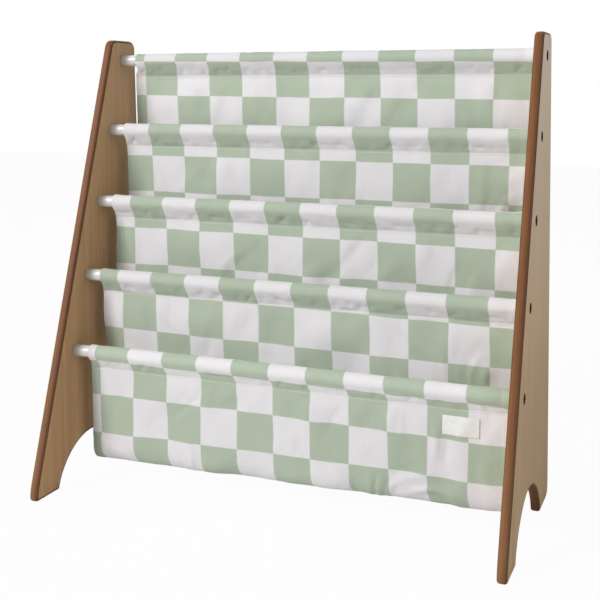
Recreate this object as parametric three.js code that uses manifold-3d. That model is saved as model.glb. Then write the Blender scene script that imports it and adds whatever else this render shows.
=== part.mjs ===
// A child's sling bookshelf: two leaning side panels joined by five rods, with cloth pockets between the rods.
// Units are millimetres. +Z is up, the books face -Y, and the origin is at the centre of the footprint.

import * as THREE from 'three';
import { mergeVertices } from 'three/addons/utils/BufferGeometryUtils.js';
import Module from 'manifold-3d';

// Overall sizes
const OVERALL_WIDTH = 620;
const FOOT_DEPTH = 264;
const PANEL_HEIGHT = 600;

// Fits
const TOUCH_GAP = 0.3;
const CUT_OVERRUN = 5;

// Side panels: board, lean of the two long edges, corners and feet
const PANEL_THICKNESS = 12;
const EDGE_ROUND = 3;
const TOP_DEPTH = 58.2;
const REAR_LEAN = 19;
const TOE_SETBACK = 4;
const TOP_CORNER_RADIUS = 14;
const HEEL_RADIUS = 16;
const TOE_RADIUS = 5;
const FRONT_FOOT_LENGTH = 48;
const REAR_FOOT_LENGTH = 60;
const ARCH_HEIGHT = 58;
const ARCH_CROWN_SHARE = 0.487;
const ARCH_HANDLE_SHARES = { side: 0.115, rise: 0.53, crown: 0.47 };

// Rods: steel tubes on a line that runs parallel to the front edge
const ROD_COUNT = 5;
const ROD_RADIUS = 8;
const ROD_WALL = 1.2;
const TOP_ROD_DROP = 28.7;
const LOWEST_ROD_HEIGHT = 178.4;
const ROD_SETBACK = 35.2;

// Threaded plugs in the rod ends and the bolts that pull the panels onto the rods
const PLUG_LENGTH = 26;
const BOLT_RADIUS = 3;
const BOLT_GRIP = 20;
const HEAD_RADIUS = 6.4;
const HEAD_THICKNESS = 2.4;
const HEAD_RECESS = 0.8;
const SOCKET_ACROSS_FLATS = 4;
const SOCKET_DEPTH = 1.6;

// Cloth: sleeves round the rods, pockets hanging from the stitch lines, and a blank label
const CLOTH_THICKNESS = 1;
const LAYER_GAP = 0.9;
const CLOTH_LEFT_GAP = 23;
const CLOTH_RIGHT_GAP = 3;
const SLEEVE_DROP = 24;
const SEAM_SETBACK = 6;
const POCKET_FLOOR_GAP = 29.6;
const BACK_SHEET_DRIFT = 4;
const WAVE_DEPTH = 2;
const WAVE_FADE = 60;
const WAVES_ACROSS = [3.2, 5.1];
const WAVE_SHARES = [0.65, 0.35];
const LABEL_WIDTH = 45;
const LABEL_HEIGHT = 24;
const LABEL_INSET = 37;
const LABEL_DROP = 31;
const LABEL_THICKNESS = 0.6;

// Facet counts
const ROD_SEGMENTS = 24;
const BOLT_SEGMENTS = 16;
const CORNER_SEGMENTS = 5;
const EDGE_SEGMENTS = 2;
const SLEEVE_SEGMENTS = 18;
const BEND_SEGMENTS = 10;
const FADE_ROWS = 3;
const HANG_ROWS = 4;
const SHEET_COLUMNS = 16;

// Worked out from the sizes above
const INNER_HALF_WIDTH = OVERALL_WIDTH / 2 - PANEL_THICKNESS;
const CLOTH_LEFT = -INNER_HALF_WIDTH + CLOTH_LEFT_GAP;
const CLOTH_RIGHT = INNER_HALF_WIDTH - CLOTH_RIGHT_GAP;
const CLOTH_WIDTH = CLOTH_RIGHT - CLOTH_LEFT;
const FRONT_LEAN = FOOT_DEPTH + TOE_SETBACK - REAR_LEAN - TOP_DEPTH;
const TOE = -FOOT_DEPTH / 2;
const HEEL = FOOT_DEPTH / 2;
const FRONT_SLOPE = FRONT_LEAN / PANEL_HEIGHT;
const ROD_PITCH = (PANEL_HEIGHT - TOP_ROD_DROP - LOWEST_ROD_HEIGHT) / (ROD_COUNT - 1);
const POCKET_DROP = LOWEST_ROD_HEIGHT - POCKET_FLOOR_GAP;
const LAYER_PITCH = CLOTH_THICKNESS + LAYER_GAP;

const wood = new THREE.MeshStandardMaterial({ color: 0xb08f66, roughness: 0.6, metalness: 0 });
const whitePaint = new THREE.MeshStandardMaterial({ color: 0xf2f2f0, roughness: 0.25, metalness: 0.1 });
const plugPlastic = new THREE.MeshStandardMaterial({ color: 0xd8d8d4, roughness: 0.5, metalness: 0 });
const blackSteel = new THREE.MeshStandardMaterial({ color: 0x1c1a19, roughness: 0.4, metalness: 0.8 });
const sageCloth = new THREE.MeshStandardMaterial({ color: 0xa9bda3, roughness: 0.9, metalness: 0 });
const paleCloth = new THREE.MeshStandardMaterial({ color: 0xe1dcdf, roughness: 0.9, metalness: 0 });
const labelCloth = new THREE.MeshStandardMaterial({ color: 0xe8e2cf, roughness: 0.85, metalness: 0 });

const wasm = await Module();
wasm.setup();

function toSolid(geometry) {
  const bare = geometry.clone();
  bare.deleteAttribute('normal');
  bare.deleteAttribute('uv');
  const merged = mergeVertices(bare);
  const vertProperties = new Float32Array(merged.attributes.position.array);
  const triVerts = new Uint32Array(merged.index.array);
  return new wasm.Manifold(new wasm.Mesh({ numProp: 3, vertProperties, triVerts }));
}

function toGeometry(solid) {
  const { vertProperties, triVerts } = solid.getMesh();
  const geometry = new THREE.BufferGeometry();
  geometry.setAttribute('position', new THREE.BufferAttribute(vertProperties, 3));
  geometry.setIndex(new THREE.BufferAttribute(triVerts, 1));
  geometry.computeVertexNormals();
  return geometry;
}

function cut(geometry, cutters) {
  let solid = toSolid(geometry);
  for (const cutter of cutters) solid = solid.subtract(toSolid(cutter));
  return toGeometry(solid);
}

// The whole shelf is drawn in side view: x is depth, y is height and z runs across, from left to right.
const shelf = new THREE.Group();
const sideView = new THREE.Group();
const acrossBasis = new THREE.Matrix4().makeBasis(
  new THREE.Vector3(0, 1, 0),
  new THREE.Vector3(0, 0, 1),
  new THREE.Vector3(1, 0, 0),
);
sideView.quaternion.setFromRotationMatrix(acrossBasis);
shelf.add(sideView);

function place(name, geometry, material, depth = 0, height = 0, across = 0) {
  const mesh = new THREE.Mesh(geometry, material);
  mesh.name = name;
  mesh.position.set(depth, height, across);
  sideView.add(mesh);
  return mesh;
}

function rodPlace(number) {
  const height = PANEL_HEIGHT - TOP_ROD_DROP - (number - 1) * ROD_PITCH;
  const depth = TOE - TOE_SETBACK + height * FRONT_SLOPE + ROD_SETBACK;
  return new THREE.Vector2(depth, height);
}

// A cylinder whose axis runs across the shelf
function acrossCylinder(radius, length, sides = BOLT_SEGMENTS) {
  const geometry = new THREE.CylinderGeometry(radius, radius, length, sides);
  return geometry.rotateX(Math.PI / 2);
}

// A corner of the outline, rounded by a curve that is tangent to both of its edges
function roundCorner(shape, before, corner, after, radius) {
  const inward = new THREE.Vector2().subVectors(before, corner).normalize();
  const outward = new THREE.Vector2().subVectors(after, corner).normalize();
  const halfAngle = Math.acos(inward.dot(outward)) / 2;
  const reach = radius / Math.tan(halfAngle);
  const start = corner.clone().addScaledVector(inward, reach);
  const end = corner.clone().addScaledVector(outward, reach);
  shape.lineTo(start.x, start.y);
  shape.quadraticCurveTo(corner.x, corner.y, end.x, end.y);
}

function archCurve(shape, fromHeel, crown, toToe) {
  const { side, rise, crown: flat } = ARCH_HANDLE_SHARES;
  const rearSpan = fromHeel - crown;
  const frontSpan = crown - toToe;
  shape.lineTo(fromHeel, 0);
  shape.bezierCurveTo(
    fromHeel - side * rearSpan, rise * ARCH_HEIGHT,
    crown + flat * rearSpan, ARCH_HEIGHT,
    crown, ARCH_HEIGHT,
  );
  shape.bezierCurveTo(
    crown - flat * frontSpan, ARCH_HEIGHT,
    toToe + side * frontSpan, rise * ARCH_HEIGHT,
    toToe, 0,
  );
}

// Side panel outline: a leaning trapezium with rounded corners and an arch that leaves two feet
function panelOutline() {
  const lineFoot = TOE - TOE_SETBACK;
  const kneeHeight = TOE_SETBACK / FRONT_SLOPE;
  const toe = new THREE.Vector2(TOE, 0);
  const knee = new THREE.Vector2(TOE, kneeHeight);
  const topFront = new THREE.Vector2(lineFoot + FRONT_LEAN, PANEL_HEIGHT);
  const topRear = new THREE.Vector2(HEEL - REAR_LEAN, PANEL_HEIGHT);
  const heel = new THREE.Vector2(HEEL, 0);
  const frontArchFoot = new THREE.Vector2(TOE + FRONT_FOOT_LENGTH, 0);
  const rearArchFoot = new THREE.Vector2(HEEL - REAR_FOOT_LENGTH, 0);
  const crown = frontArchFoot.x + ARCH_CROWN_SHARE * (rearArchFoot.x - frontArchFoot.x);
  const kneeEnd = new THREE.Vector2(TOE + kneeHeight * FRONT_SLOPE, 2 * kneeHeight);

  const outline = new THREE.Shape();
  outline.moveTo(frontArchFoot.x, 0);
  outline.lineTo(TOE + TOE_RADIUS, 0);
  outline.quadraticCurveTo(toe.x, toe.y, TOE, TOE_RADIUS);
  outline.quadraticCurveTo(knee.x, knee.y, kneeEnd.x, kneeEnd.y);
  roundCorner(outline, kneeEnd, topFront, topRear, TOP_CORNER_RADIUS);
  roundCorner(outline, topFront, topRear, heel, TOP_CORNER_RADIUS);
  outline.lineTo(HEEL, HEEL_RADIUS);
  outline.quadraticCurveTo(heel.x, heel.y, HEEL - HEEL_RADIUS, 0);
  archCurve(outline, rearArchFoot.x, crown, frontArchFoot.x);
  return outline;
}

function panelGeometry(side) {
  const board = new THREE.ExtrudeGeometry(panelOutline(), {
    depth: PANEL_THICKNESS - 2 * EDGE_ROUND,
    bevelThickness: EDGE_ROUND,
    bevelSize: EDGE_ROUND,
    bevelOffset: -EDGE_ROUND,
    bevelSegments: EDGE_SEGMENTS,
    curveSegments: CORNER_SEGMENTS,
  });
  board.translate(0, 0, EDGE_ROUND - PANEL_THICKNESS / 2);
  const cutters = [];
  const recessDepth = HEAD_THICKNESS + HEAD_RECESS + TOUCH_GAP;
  for (let number = 1; number <= ROD_COUNT; number += 1) {
    const { x, y } = rodPlace(number);
    const bore = acrossCylinder(BOLT_RADIUS + TOUCH_GAP, PANEL_THICKNESS + 2 * CUT_OVERRUN);
    const recess = acrossCylinder(HEAD_RADIUS + TOUCH_GAP, recessDepth + CUT_OVERRUN);
    const recessCentre = side * (PANEL_THICKNESS / 2 - recessDepth + (recessDepth + CUT_OVERRUN) / 2);
    cutters.push(bore.translate(x, y, 0));
    cutters.push(recess.translate(x, y, recessCentre));
  }
  return cut(board, cutters);
}

function addPanels() {
  const middle = INNER_HALF_WIDTH + PANEL_THICKNESS / 2;
  place('side_panel_left', panelGeometry(-1), wood, 0, 0, -middle);
  place('side_panel_right', panelGeometry(1), wood, 0, 0, middle);
}

// A tube along the lathe's axis, closed on itself, turned so that it runs across
function tubeGeometry(outer, inner, length, sides) {
  const half = length / 2;
  const profile = [
    new THREE.Vector2(inner, -half),
    new THREE.Vector2(outer, -half),
    new THREE.Vector2(outer, half),
    new THREE.Vector2(inner, half),
    new THREE.Vector2(inner, -half),
  ];
  return new THREE.LatheGeometry(profile, sides).rotateX(Math.PI / 2);
}

function addRods() {
  const length = 2 * (INNER_HALF_WIDTH - TOUCH_GAP);
  for (let number = 1; number <= ROD_COUNT; number += 1) {
    const { x, y } = rodPlace(number);
    const tube = tubeGeometry(ROD_RADIUS, ROD_RADIUS - ROD_WALL, length, ROD_SEGMENTS);
    place(`rod_${number}`, tube, whitePaint, x, y);
  }
}

// Head and shank of a furniture bolt, head end towards +z, with a hexagonal socket
function boltGeometry() {
  const shankEnd = -(PANEL_THICKNESS - HEAD_RECESS - HEAD_THICKNESS + BOLT_GRIP);
  const profile = [
    new THREE.Vector2(0, shankEnd),
    new THREE.Vector2(BOLT_RADIUS, shankEnd),
    new THREE.Vector2(BOLT_RADIUS, 0),
    new THREE.Vector2(HEAD_RADIUS, 0),
    new THREE.Vector2(HEAD_RADIUS, HEAD_THICKNESS),
    new THREE.Vector2(0, HEAD_THICKNESS),
  ];
  const blank = new THREE.LatheGeometry(profile, BOLT_SEGMENTS).rotateX(Math.PI / 2);
  const socketRadius = SOCKET_ACROSS_FLATS / Math.sqrt(3);
  const socket = acrossCylinder(socketRadius, SOCKET_DEPTH + CUT_OVERRUN, 6);
  socket.translate(0, 0, HEAD_THICKNESS - SOCKET_DEPTH + (SOCKET_DEPTH + CUT_OVERRUN) / 2);
  return cut(blank, [socket]);
}

function addFasteners() {
  const plugRadius = ROD_RADIUS - ROD_WALL - TOUCH_GAP;
  const plugCentre = INNER_HALF_WIDTH - TOUCH_GAP - PLUG_LENGTH / 2;
  const headSeat = OVERALL_WIDTH / 2 - HEAD_RECESS - HEAD_THICKNESS;
  for (const [label, side] of [['left', -1], ['right', 1]]) {
    for (let number = 1; number <= ROD_COUNT; number += 1) {
      const { x, y } = rodPlace(number);
      const plug = tubeGeometry(plugRadius, BOLT_RADIUS + TOUCH_GAP, PLUG_LENGTH, BOLT_SEGMENTS);
      place(`rod_plug_${label}_${number}`, plug, plugPlastic, x, y, side * plugCentre);
      const bolt = place(`bolt_${label}_${number}`, boltGeometry(), blackSteel, x, y, side * headSeat);
      if (side < 0) bolt.rotation.y = Math.PI;
    }
  }
}

// Sleeve section: round over the rod, with both sides drawn down to the stitch line
function sleeveOutline(path, radius, seam, seamHalfWidth) {
  const seamDistance = seam.length();
  const towardsSeam = Math.atan2(seam.y, seam.x);
  const tangent = Math.acos(radius / seamDistance);
  const start = towardsSeam + tangent;
  const sweep = 2 * (Math.PI - tangent);
  for (let step = 0; step <= SLEEVE_SEGMENTS; step += 1) {
    const angle = start + (sweep * step) / SLEEVE_SEGMENTS;
    const x = radius * Math.cos(angle);
    const y = radius * Math.sin(angle);
    if (step === 0) path.moveTo(x, y);
    else path.lineTo(x, y);
  }
  path.lineTo(seam.x - seamHalfWidth, seam.y);
  if (seamHalfWidth > 0) path.lineTo(seam.x + seamHalfWidth, seam.y);
  path.closePath();
}

function sleeveGeometry() {
  const innerRadius = ROD_RADIUS + TOUCH_GAP;
  const seam = new THREE.Vector2(SEAM_SETBACK, -SLEEVE_DROP);
  const innerSeam = seam.clone().setLength(seam.length() - 4 * CLOTH_THICKNESS);
  const section = new THREE.Shape();
  sleeveOutline(section, innerRadius + CLOTH_THICKNESS, seam, LAYER_PITCH);
  const bore = new THREE.Path();
  sleeveOutline(bore, innerRadius, innerSeam, 0);
  section.holes.push(bore);
  const geometry = new THREE.ExtrudeGeometry(section, { depth: CLOTH_WIDTH, bevelEnabled: false });
  return geometry.translate(0, 0, CLOTH_LEFT);
}

function addSleeves() {
  for (let number = 1; number <= ROD_COUNT; number += 1) {
    const { x, y } = rodPlace(number);
    place(`sleeve_${number}`, sleeveGeometry(), number % 2 ? sageCloth : paleCloth, x, y);
  }
}

// How far the hanging cloth stands forward or back, at a place across and a drop below its stitch line
function wave(across, drop) {
  const share = (across - CLOTH_LEFT) / CLOTH_WIDTH;
  const fade = Math.min(1, drop / WAVE_FADE);
  let sum = 0;
  WAVES_ACROSS.forEach((count, index) => {
    sum += WAVE_SHARES[index] * Math.sin(2 * Math.PI * count * share + index);
  });
  return WAVE_DEPTH * fade * sum;
}

// A closed sheet: a centreline in side view, thickened to both sides and carried across in steps.
// Each point of the centreline has its drop below the stitch line that it hangs from.
function sheetGeometry(line, thickness, fromAcross, toAcross, columns) {
  const loop = [];
  const normals = line.map((point, index) => {
    const before = line[Math.max(0, index - 1)];
    const after = line[Math.min(line.length - 1, index + 1)];
    return new THREE.Vector2(before.y - after.y, after.x - before.x).normalize();
  });
  const pushSide = (sign) => {
    line.forEach((point, index) => {
      const { x: nx, y: ny } = normals[index];
      const reach = (sign * thickness) / 2;
      loop.push({ x: point.x + nx * reach, y: point.y + ny * reach, drop: point.drop });
    });
  };
  pushSide(1);
  pushSide(-1);
  const count = line.length;
  const positions = [];
  for (let column = 0; column <= columns; column += 1) {
    const across = fromAcross + ((toAcross - fromAcross) * column) / columns;
    for (const { x, y, drop } of loop) positions.push(x + wave(across, drop), y, across);
  }
  const triangles = [];
  const quad = (a, b, c, d) => triangles.push(a, b, c, a, c, d);
  const ring = 2 * count;
  for (let column = 0; column < columns; column += 1) {
    const here = column * ring;
    const next = here + ring;
    for (let index = 0; index < count - 1; index += 1) {
      quad(here + index, next + index, next + index + 1, here + index + 1);
      const back = count + index;
      quad(here + back + 1, next + back + 1, next + back, here + back);
    }
    quad(here + count, next + count, next, here);
    quad(here + count - 1, next + count - 1, next + ring - 1, here + ring - 1);
  }
  const last = columns * ring;
  for (let index = 0; index < count - 1; index += 1) {
    quad(index, index + 1, count + index + 1, count + index);
    quad(last + count + index, last + count + index + 1, last + index + 1, last + index);
  }
  const geometry = new THREE.BufferGeometry();
  geometry.setAttribute('position', new THREE.Float32BufferAttribute(positions, 3));
  geometry.setIndex(triangles);
  geometry.computeVertexNormals();
  return geometry;
}

// Places of a pocket's two hanging sheets at a drop below their own stitch lines
function backSheetDepth(number, drop) {
  const fullDrop = ROD_PITCH + POCKET_DROP - SLEEVE_DROP;
  return rodPlace(number).x + SEAM_SETBACK + (BACK_SHEET_DRIFT * drop) / fullDrop;
}

function frontSheetDepth(number, drop) {
  const isLowest = number === ROD_COUNT - 1;
  const behind = isLowest ? 0 : LAYER_PITCH;
  return backSheetDepth(number + 1, isLowest ? 0 : drop) + behind;
}

// Drops of a hanging sheet's rows: close together while its waves grow, wider below
function hangingDrops(fullDrop) {
  const drops = [];
  for (let row = 0; row < FADE_ROWS; row += 1) drops.push((WAVE_FADE * row) / FADE_ROWS);
  for (let row = 0; row < HANG_ROWS; row += 1) drops.push(WAVE_FADE + ((fullDrop - WAVE_FADE) * row) / HANG_ROWS);
  return drops;
}

// Centreline of a pocket: down from the upper rod's stitch line, round the bottom and up to the lower rod's
function pocketLine(number) {
  const upperSeam = rodPlace(number).y - SLEEVE_DROP - TOUCH_GAP;
  const lowerSeam = rodPlace(number + 1).y - SLEEVE_DROP - TOUCH_GAP;
  const bottom = rodPlace(number + 1).y - POCKET_DROP + CLOTH_THICKNESS / 2;
  const drops = lowerSeam - bottom;
  const rear = backSheetDepth(number, upperSeam - bottom);
  const front = frontSheetDepth(number, drops);
  const radius = (rear - front) / 2;
  const bendHeight = bottom + radius;
  const line = [];
  for (const drop of hangingDrops(upperSeam - bendHeight)) {
    line.push({ x: backSheetDepth(number, drop), y: upperSeam - drop, drop });
  }
  for (let step = 0; step <= BEND_SEGMENTS; step += 1) {
    const angle = (Math.PI * step) / BEND_SEGMENTS;
    const x = (rear + front) / 2 + radius * Math.cos(angle);
    line.push({ x, y: bendHeight - radius * Math.sin(angle), drop: WAVE_FADE });
  }
  for (const drop of hangingDrops(lowerSeam - bendHeight).reverse()) {
    line.push({ x: frontSheetDepth(number, drop), y: lowerSeam - drop, drop });
  }
  return line;
}

function addPockets() {
  for (let number = 1; number < ROD_COUNT; number += 1) {
    const line = pocketLine(number);
    const geometry = sheetGeometry(line, CLOTH_THICKNESS, CLOTH_LEFT, CLOTH_RIGHT, SHEET_COLUMNS);
    place(`pocket_${number}`, geometry, number % 2 ? paleCloth : sageCloth);
  }
}

// Depth of the faceted sheet between two of its columns, at a drop below its stitch line
function facetedWave(across, drop) {
  const columnPitch = CLOTH_WIDTH / SHEET_COLUMNS;
  const before = Math.floor((across - CLOTH_LEFT) / columnPitch) * columnPitch + CLOTH_LEFT;
  const share = (across - before) / columnPitch;
  return (1 - share) * wave(before, drop) + share * wave(before + columnPitch, drop);
}

// Blank label sewn on the front of the lowest pocket, near its right edge: a flat patch that leans as the cloth does
function addLabel() {
  const right = CLOTH_RIGHT - LABEL_INSET;
  const left = right - LABEL_WIDTH;
  const middle = (left + right) / 2;
  const forward = (drop) => Math.min(...[left, middle, right].map((across) => facetedWave(across, drop)));
  const topDrop = LABEL_DROP - SLEEVE_DROP;
  const topForward = forward(topDrop);
  const bottomForward = forward(topDrop + LABEL_HEIGHT);
  const faceGap = CLOTH_THICKNESS / 2 + TOUCH_GAP + LABEL_THICKNESS / 2;
  const depth = frontSheetDepth(ROD_COUNT - 1, 0) + (topForward + bottomForward) / 2 - faceGap;
  const height = rodPlace(ROD_COUNT).y - LABEL_DROP - LABEL_HEIGHT / 2;
  const patch = new THREE.BoxGeometry(LABEL_THICKNESS, LABEL_HEIGHT, LABEL_WIDTH);
  const label = place('blank_label', patch, labelCloth, depth, height, middle);
  label.rotation.z = Math.atan2(bottomForward - topForward, LABEL_HEIGHT);
}

addPanels();
addRods();
addFasteners();
addSleeves();
addPockets();
addLabel();

export default shelf;
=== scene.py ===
"""Looks of a child's sling bookshelf: stained board sides, white rods, and printed cloth pockets.

Lengths are metres and the camera's angles degrees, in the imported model's frame: +Z up, the books face
-Y, the floor at z = 0. Depth is y, height is z and across is x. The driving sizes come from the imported
model's boxes.
"""

import bmesh
import bpy
import numpy as np
from mathutils import Euler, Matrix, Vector


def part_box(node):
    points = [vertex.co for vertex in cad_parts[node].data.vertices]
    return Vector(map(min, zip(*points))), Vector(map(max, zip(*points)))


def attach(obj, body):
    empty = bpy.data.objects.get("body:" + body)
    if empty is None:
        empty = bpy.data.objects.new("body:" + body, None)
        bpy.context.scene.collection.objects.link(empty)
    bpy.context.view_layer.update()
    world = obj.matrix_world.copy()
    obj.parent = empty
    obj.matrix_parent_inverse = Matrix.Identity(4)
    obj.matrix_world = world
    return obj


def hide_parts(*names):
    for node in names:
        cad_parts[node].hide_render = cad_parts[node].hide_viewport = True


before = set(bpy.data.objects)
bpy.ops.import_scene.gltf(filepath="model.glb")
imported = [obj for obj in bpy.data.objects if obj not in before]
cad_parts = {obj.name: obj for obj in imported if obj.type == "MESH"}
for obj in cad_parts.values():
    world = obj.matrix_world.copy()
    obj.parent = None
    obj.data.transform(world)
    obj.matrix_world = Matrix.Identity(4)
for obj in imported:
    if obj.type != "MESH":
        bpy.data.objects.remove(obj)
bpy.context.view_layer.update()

MM = 0.001
ROD_COUNT = 5
LAST_STRIP = ROD_COUNT - 1

# Camera: where the photograph was taken from, with its lens in pixels of a 600 pixel frame
IMAGE_SIZE = 600
CAMERA_PLACE = (0.514, -1.1628, 0.5279)
CAMERA_YAW = 21.029
CAMERA_PITCH = -3.973
LENS_PIXELS = 1001.7
PRINCIPAL_PIXEL = (338.9, 160.6)
SENSOR_WIDTH = 36.0
CLIP_START = 0.05

# Studio: each lamp has its place, its size and its power, and all aim at one point
LAMP_AIM = (0, 0, 0.3)
LAMPS = {
    "key": ((-2.1, -2.8, 2.3), (1.4, 1.25), 106),
    "fill": ((2.4, -1.2, 0.9), (1.4, 1.4), 12),
    "top": ((0.1, 0.2, 2.4), (1.6, 1.6), 8),
}
AMBIENT = 0.33
FLOOR_REACH = 6.0
FLOOR_GREY = (0.86, 0.86, 0.86, 1)
FLOOR_WHITE = 0.96
WHITE = (1, 1, 1, 1)

# Side panels
EDGE_ROUND = 3.4 * MM
EDGE_STEPS = 7
TOE_SETBACK = 4 * MM
REAR_LEAN = 19 * MM
TOP_DEPTH = 58.2 * MM
TOP_CORNER_RADIUS = 14 * MM
HEEL_RADIUS = 16 * MM
TOE_RADIUS = 5 * MM
ARCH_FOOT_RADIUS = 2 * MM
FRONT_FOOT_LENGTH = 48 * MM
REAR_FOOT_LENGTH = 60 * MM
ARCH_HEIGHT = 58 * MM
ARCH_CROWN_SHARE = 0.487
ARCH_HANDLE_SHARES = {"side": 0.115, "rise": 0.53, "crown": 0.47}
ARCH_STEPS = 22
RECESS_RADIUS = 6.7 * MM
RECESS_DEPTH = 3.5 * MM
BORE_RADIUS = 3.3 * MM

# Tones: five to a board's face, for deep, middle and light grain, drift and pores
# The left board's tones are darker and more saturated than the right's: painted shade of its inner face.
FACE_TONES = {
    "left": ((169, 130, 91), (182, 144, 103), (192, 155, 114), (173, 136, 97), (121, 91, 61)),
    "right": ((181, 148, 110), (195, 165, 128), (206, 177, 141), (193, 163, 126), (146, 115, 82)),
}
# The bores' near-black tones are painted shade inside the recesses.
SHADED_BORE_TONES = ((0.35, (34, 25, 18)), (0.7, (58, 42, 30)))
PLUG_TONES = ((0.3, (205, 205, 200)), (0.7, (220, 220, 216)))

# Shares of a board face's painted light and shade: painted sheen that pales it upwards, painted glow behind
# its front edge and low down, and painted light and shade by height (the lift)
FACE_SHARES = {"left": (0.06, 0.17, 0.0), "right": (0.75, 0.0, 0.14)}

# Where a board's tone and its painted light and shade change, from and to: heights, and depths behind its
# front edge
PAINTED_SHEEN_HEIGHTS = (0.2, 0.6)
PAINTED_GLOW_HEIGHTS = (0.06, 0.18)
PAINTED_GLOW_DEPTHS = (0.03, 0.065)
LOW_PAINTED_GLOW_HEIGHTS = (0.195, 0.15)
LOW_PAINTED_GLOW_DEPTHS = (0.06, 0.09)
LOW_PAINTED_GLOW_SHARE = 2.4
PAINTED_LIGHT_HEIGHTS = (0.13, 0.25)
PAINTED_LIGHT_FADE_HEIGHTS = (0.31, 0.46)
PAINTED_LIGHT_FADE_SHARE = 0.6
PAINTED_SHADE_BASE_SHARE = 0.4
EDGE_WEAR_HEIGHTS = (0.3, 0.04)
# Reach of the painted shade on the right-hand side of each edge
EDGE_PAINTED_SHADE_REACH = (-2.5 * MM, 4 * MM)
# Reach of the painted shade on the rods' ends near the panels
ROD_PAINTED_SHADE_REACH = (0.284, 0.300)

# Rods
ROD_WALL = 1.2 * MM
ROD_LIP = 0.35 * MM
ROD_SEGMENTS = 56
SHARP_ANGLE = 35

# Bolts
BOLT_SEGMENTS = 48
HEAD_THICKNESS = 2.4 * MM
HEAD_CHAMFER = 0.5 * MM
SHANK_RADIUS = 3 * MM
TIP_CHAMFER = 0.6 * MM
TIP_SHARE = 0.75
CAP_SHARE = 0.02
SOCKET_ACROSS_FLATS = 4 * MM
SOCKET_DEPTH = 1.6 * MM
SOCKET_LEAD_DEPTH = 0.2 * MM
SOCKET_LEAD = 0.25 * MM

# Cloth routes
CLOTH = 0.8 * MM
ROD_CLEARANCE = 0.4 * MM
SEAM_SETBACK = 6 * MM
CREASE_RISE = 2.4 * MM
LAYER_STEP = 1.1 * MM
SEAM_ALLOWANCE = 6 * MM
TUCKED_END = (0.8 * MM, 5 * MM)
SHEET_DRIFT = 4 * MM
BOTTOM_TILT = 0.014
BEND_HEIGHT = 24 * MM
BEND_STEPS = 15
SLEEVE_STEPS = 26
NORMAL_REACH = 1.2 * MM

# Cloth points: their spacing, close together at seams, bends and hems
ROW_STEP = 3 * MM
FINE_ROW_STEP = 1.2 * MM
CURVED_ROW_STEP = 2 * MM
FINE_ROW_REACHES = (3 * MM, 17 * MM)
COLUMN_STEP = 2 * MM
FINE_COLUMN_STEP = 0.8 * MM
FINE_COLUMN_MARGIN = 3 * MM

# Left ends of the cloth, rod by rod: how far a sleeve is drawn in and the sheet under it spreads out
SLEEVE_DRAWS = {1: 3 * MM, 2: 2.2 * MM, 3: 1.8 * MM, 4: 2.2 * MM, 5: 2.8 * MM}
SHEET_SPREADS = {1: 4.4 * MM, 2: 1 * MM, 3: 0.4 * MM, 4: 1.6 * MM, 5: 1.4 * MM}
END_PULL_REACH = 90 * MM
ROD_PULL_REACH = 14 * MM

# Hems and seams
HEM_WIDTH = 10 * MM
HEM_SWELL = 0.35 * MM
HEM_SWELL_EDGE = 1.2 * MM
HEM_STITCH_INSET = 8.4 * MM
HEM_DENT = 0.3 * MM
HEM_DENT_REACH = 0.9 * MM
SEAM_DENT = 0.16 * MM
SEAM_DENT_REACH = 1.3 * MM

# Folds of the sheets
WAVE_DEPTH = 2 * MM
WAVE_FADE = 60 * MM
WAVES_ACROSS = (3.2, 5.1)
WAVE_SHARES = (0.65, 0.35)
FOLD_DEPTH = 3.4 * MM
FOLD_FADE = 40 * MM
RIPPLE_DEPTH = 1.3 * MM
CREASE_DEPTH = 2.1 * MM
CREASE_SHARES = {1: 0.7, 2: 0.8, 3: 1.1, 4: 1.0, 5: 1.5}
CREASE_END_SHARES = (0.55, 1.0)
CREASE_LEAN = 0.35
CREASE_LEAN_SPREAD = 0.75
CREASE_TURN = 0.5
SMALL_FOLD_FADE = 24 * MM
PUCKER_DEPTH = 0.6 * MM
PUCKER_REACH = 10 * MM

# Creases of the sleeves
SLEEVE_SHARES = {1: 0.55, 2: 0.8, 3: 0.75, 4: 0.75, 5: 0.7}
SLACK_DEPTH = 0.7 * MM
SLACK_FADE = 8 * MM
DIMPLE_DEPTH = 2.8 * MM
DIMPLE_PLACE = 8.5 * MM
DIMPLE_REACH = 4.6 * MM
DIMPLE_SLANT = 0.6
BULGE_SHARE = 0.4
PINCH_SEED = 200
PINCH_COUNT = 17
PINCH_DEPTH = 2.4 * MM
PINCH_SPOTS = (0.1, 0.9)
PINCH_SLANTS = (0.1, 0.9)
PINCH_STRENGTHS = (0.2, 1.0)
PINCH_STRENGTH_POWER = 1.5
PINCH_PLACES = (6 * MM, 12 * MM)
PINCH_WIDTHS = (2.6 * MM, 4.6 * MM)
PINCH_LENGTHS = (4 * MM, 7 * MM)

# Smooth random fields of the cloth: their spans across and along it, and their seeds
FIELDS = {
    "folds": (46 * MM, 110 * MM, 11),
    "ripples": (21 * MM, 34 * MM, 31),
    "pucker": (9 * MM, 1.0, 51),
    "slack": (27 * MM, 14 * MM, 91),
    "dimples": (11 * MM, 30 * MM, 111),
    "print_across": (70 * MM, 45 * MM, 131),
    "print_along": (48 * MM, 70 * MM, 151),
    "creases": (19 * MM, 55 * MM, 171),
    "lean": (90 * MM, 60 * MM, 191),
}
FIELD_CELLS = 97
FOLD_SHIFTS = (9.3, 3)

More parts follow.
